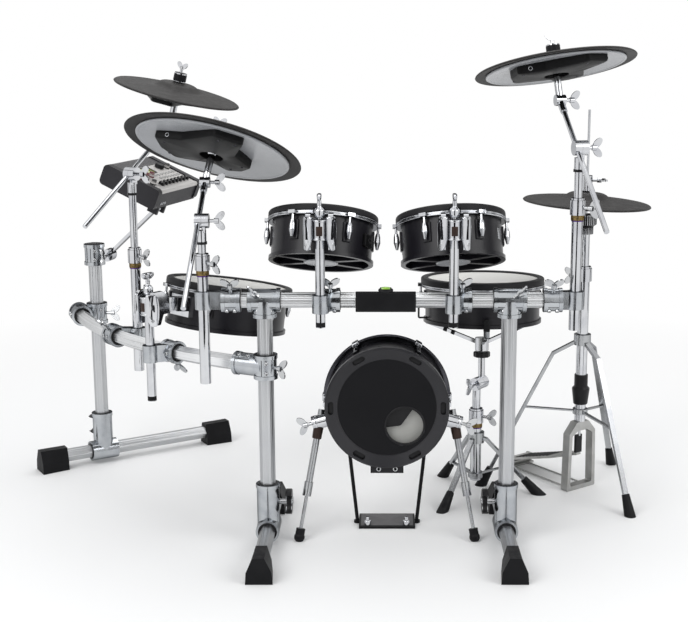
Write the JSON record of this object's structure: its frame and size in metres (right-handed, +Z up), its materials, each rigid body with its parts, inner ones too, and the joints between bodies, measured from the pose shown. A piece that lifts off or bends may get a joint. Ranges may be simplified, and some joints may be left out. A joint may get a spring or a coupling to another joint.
{
  "type": "electronic drum kit",
  "caption": "Electronic drum kit: a tube rack with toms, boom cymbals and a sound module, and a kick tower, a snare and a hi-hat on their own stands.",
  "frame": {"origin": "on the floor, at the middle of the kit's footprint box", "axes": "+X to the right seen from the audience, +Y towards the drummer, +Z up"},
  "size_m": [1.6702, 1.0938, 1.2051],
  "materials": {
    "rack_aluminium": "satin anodised six-sided tube",
    "cast_metal": "polished die casting",
    "foot_rubber": "matte moulded rubber",
    "chrome": "bright plated",
    "dark_plate": "dark moulded plate with a green vial",
    "shell_black": "satin black",
    "cover_black": "fine grained black",
    "rim_rubber": "soft matte black",
    "pad_head": "off-white textured silicone",
    "plate_black": "black powder coat",
    "cymbal_rubber": "black rubber with fine rings",
    "underside_grey": "grey moulding with a black box",
    "module_dark": "fine grained dark grey",
    "module_light": "off-white panel with a display",
    "control_black": "moulded black",
    "control_grey": "moulded grey"
  },
  "bodies": {
    "rack": {"rack_posts": "rack_aluminium", "rack_bars": "rack_aluminium", "foot_tubes": "rack_aluminium", "foot_castings": "cast_metal", "rubber_end_caps": "foot_rubber", "rack_joints": "cast_metal", "holder_clamps": "cast_metal", "wing_bolts": "chrome", "level_plate": "dark_plate", "stand_tubes": "chrome", "stand_legs": "chrome", "rubber_tips": "foot_rubber", "module_arm": "chrome", "kick_shell": "shell_black", "kick_hardware": "chrome", "kick_front_cover": "cover_black", "kick_batter_head": "pad_head", "kick_pedal_plate": "plate_black", "hihat_frame": "cast_metal"},
    "tom_left_post": {"tom_left_post": "chrome"},
    "tom_left": {"tom_left_shell": "shell_black", "tom_left_hardware": "chrome", "tom_left_rim": "rim_rubber", "tom_left_head": "pad_head"},
    "tom_right_post": {"tom_right_post": "chrome"},
    "tom_right": {"tom_right_shell": "shell_black", "tom_right_hardware": "chrome", "tom_right_rim": "rim_rubber", "tom_right_head": "pad_head"},
    "floor_tom_post": {"floor_tom_post": "chrome"},
    "floor_tom": {"floor_tom_shell": "shell_black", "floor_tom_hardware": "chrome", "floor_tom_rim": "rim_rubber", "floor_tom_head": "pad_head"},
    "snare_post": {"snare_post": "chrome"},
    "snare": {"snare_basket": "chrome", "snare_shell": "shell_black", "snare_hardware": "chrome", "snare_rim": "rim_rubber", "snare_head": "pad_head"},
    "ride_mast": {"ride_mast": "chrome"},
    "ride_boom": {"ride_boom": "chrome"},
    "ride": {"ride_pad": "cymbal_rubber", "ride_underside": "underside_grey"},
    "left_crash_mast": {"left_crash_mast": "chrome"},
    "left_crash_boom": {"left_crash_boom": "chrome"},
    "left_crash": {"left_crash_pad": "cymbal_rubber", "left_crash_underside": "underside_grey"},
    "right_crash_mast": {"right_crash_mast": "chrome"},
    "right_crash_boom": {"right_crash_boom": "chrome"},
    "right_crash": {"right_crash_pad": "cymbal_rubber", "right_crash_underside": "underside_grey"},
    "hihat": {"hihat_rod": "chrome", "hihat_pad": "cymbal_rubber"},
    "hihat_pedal": {"hihat_footboard": "cast_metal"},
    "module": {"module_case": "module_dark", "module_panel": "module_light"},
    "module_dial": {"module_dial": "control_black"},
    "module_faders": {"module_faders": "control_black"},
    "module_buttons": {"module_buttons": "control_grey"}
  },
  "joints": [
    {"name": "tom_left_height", "type": "slide", "parent": "rack", "child": "tom_left_post", "axis": [0, 0, 1], "range_m": [-0.03, 0.03]},
    {"name": "tom_left_tilt", "type": "hinge", "parent": "tom_left_post", "child": "tom_left", "pos_m": [0.00032, -0.33187, 0.768], "axis": [1, 0, 0], "range_deg": [-8, 12]},
    {"name": "tom_right_height", "type": "slide", "parent": "rack", "child": "tom_right_post", "axis": [0, 0, 1], "range_m": [-0.03, 0.03]},
    {"name": "tom_right_tilt", "type": "hinge", "parent": "tom_right_post", "child": "tom_right", "pos_m": [0.30632, -0.33187, 0.768], "axis": [1, 0, 0], "range_deg": [-8, 12]},
    {"name": "floor_tom_height", "type": "slide", "parent": "rack", "child": "floor_tom_post", "axis": [0, 0, 1], "range_m": [-0.03, 0.03]},
    {"name": "floor_tom_tilt", "type": "hinge", "parent": "floor_tom_post", "child": "floor_tom", "pos_m": [-0.4263, -0.15981, 0.556], "axis": [0.7612, -0.6486, 0], "range_deg": [-8, 12]},
    {"name": "snare_height", "type": "slide", "parent": "rack", "child": "snare_post", "axis": [0, 0, 1], "range_m": [-0.03, 0.05]},
    {"name": "snare_tilt", "type": "hinge", "parent": "snare_post", "child": "snare", "pos_m": [0.39132, 0.08013, 0.294], "axis": [0.6, 0.8, 0], "range_deg": [-8, 8]},
    {"name": "ride_height", "type": "slide", "parent": "rack", "child": "ride_mast", "axis": [0, 0, 1], "range_m": [-0.02, 0.08]},
    {"name": "ride_boom_tilt", "type": "hinge", "parent": "ride_mast", "child": "ride_boom", "pos_m": [-0.27468, -0.28487, 0.781], "axis": [1, 0, 0], "range_deg": [-6, 10]},
    {"name": "ride_swing", "type": "hinge", "parent": "ride_boom", "child": "ride", "pos_m": [-0.26478, -0.12575, 0.92797], "axis": [1, 0, 0], "range_deg": [-8, 8], "stiffness_Nm_per_rad": 20},
    {"name": "left_crash_height", "type": "slide", "parent": "rack", "child": "left_crash_mast", "axis": [0, 0, 1], "range_m": [-0.03, 0.08]},
    {"name": "left_crash_boom_tilt", "type": "hinge", "parent": "left_crash_mast", "child": "left_crash_boom", "pos_m": [-0.49352, 0.03629, 0.856], "axis": [0.8758, -0.4827, 0], "range_deg": [-10, 10]},
    {"name": "left_crash_swing", "type": "hinge", "parent": "left_crash_boom", "child": "left_crash", "pos_m": [-0.39655, 0.18483, 1.04645], "axis": [0.8758, -0.4827, 0], "range_deg": [-8, 8], "stiffness_Nm_per_rad": 20},
    {"name": "right_crash_height", "type": "slide", "parent": "rack", "child": "right_crash_mast", "axis": [0, 0, 1], "range_m": [-0.03, 0.08]},
    {"name": "right_crash_boom_tilt", "type": "hinge", "parent": "right_crash_mast", "child": "right_crash_boom", "pos_m": [0.59132, -0.28487, 0.948], "axis": [0.9743, 0.2253, 0], "range_deg": [-10, 10]},
    {"name": "right_crash_swing", "type": "hinge", "parent": "right_crash_boom", "child": "right_crash", "pos_m": [0.54918, -0.15597, 1.12116], "axis": [0.9743, 0.2253, 0], "range_deg": [-8, 8], "stiffness_Nm_per_rad": 20},
    {"name": "hihat_close", "type": "slide", "parent": "rack", "child": "hihat", "axis": [0, 0, 1], "range_m": [-0.012, 0], "stiffness_N_per_m": 900, "springref_m": 0.03},
    {"name": "hihat_pedal_press", "type": "hinge", "parent": "rack", "child": "hihat_pedal", "pos_m": [0.52632, 0.28713, 0.02], "axis": [0.8, 0.6, 0], "range_deg": [0, 2.9]},
    {"name": "module_tilt", "type": "hinge", "parent": "rack", "child": "module", "pos_m": [-0.47552, 0.27389, 0.73618], "axis": [0.2972, 0.9548, 0.0044], "range_deg": [-10, 10]},
    {"name": "module_dial_turn", "type": "hinge", "parent": "module", "child": "module_dial", "pos_m": [-0.47732, 0.3431, 0.84012], "axis": [0.3818, -0.1231, 0.916], "continuous": true},
    {"name": "module_faders_slide", "type": "slide", "parent": "module", "child": "module_faders", "axis": [-0.8751, 0.2705, 0.4012], "range_m": [-0.01, 0.01]},
    {"name": "module_buttons_press", "type": "slide", "parent": "module", "child": "module_buttons", "axis": [0.3818, -0.1231, 0.916], "range_m": [-0.0015, 0], "stiffness_N_per_m": 400, "springref_m": 0.002}
  ],
  "couplings": [
    {"joint": "hihat_pedal_press", "follows": "hihat_close", "rad_per_m": -4.1667}
  ]
}
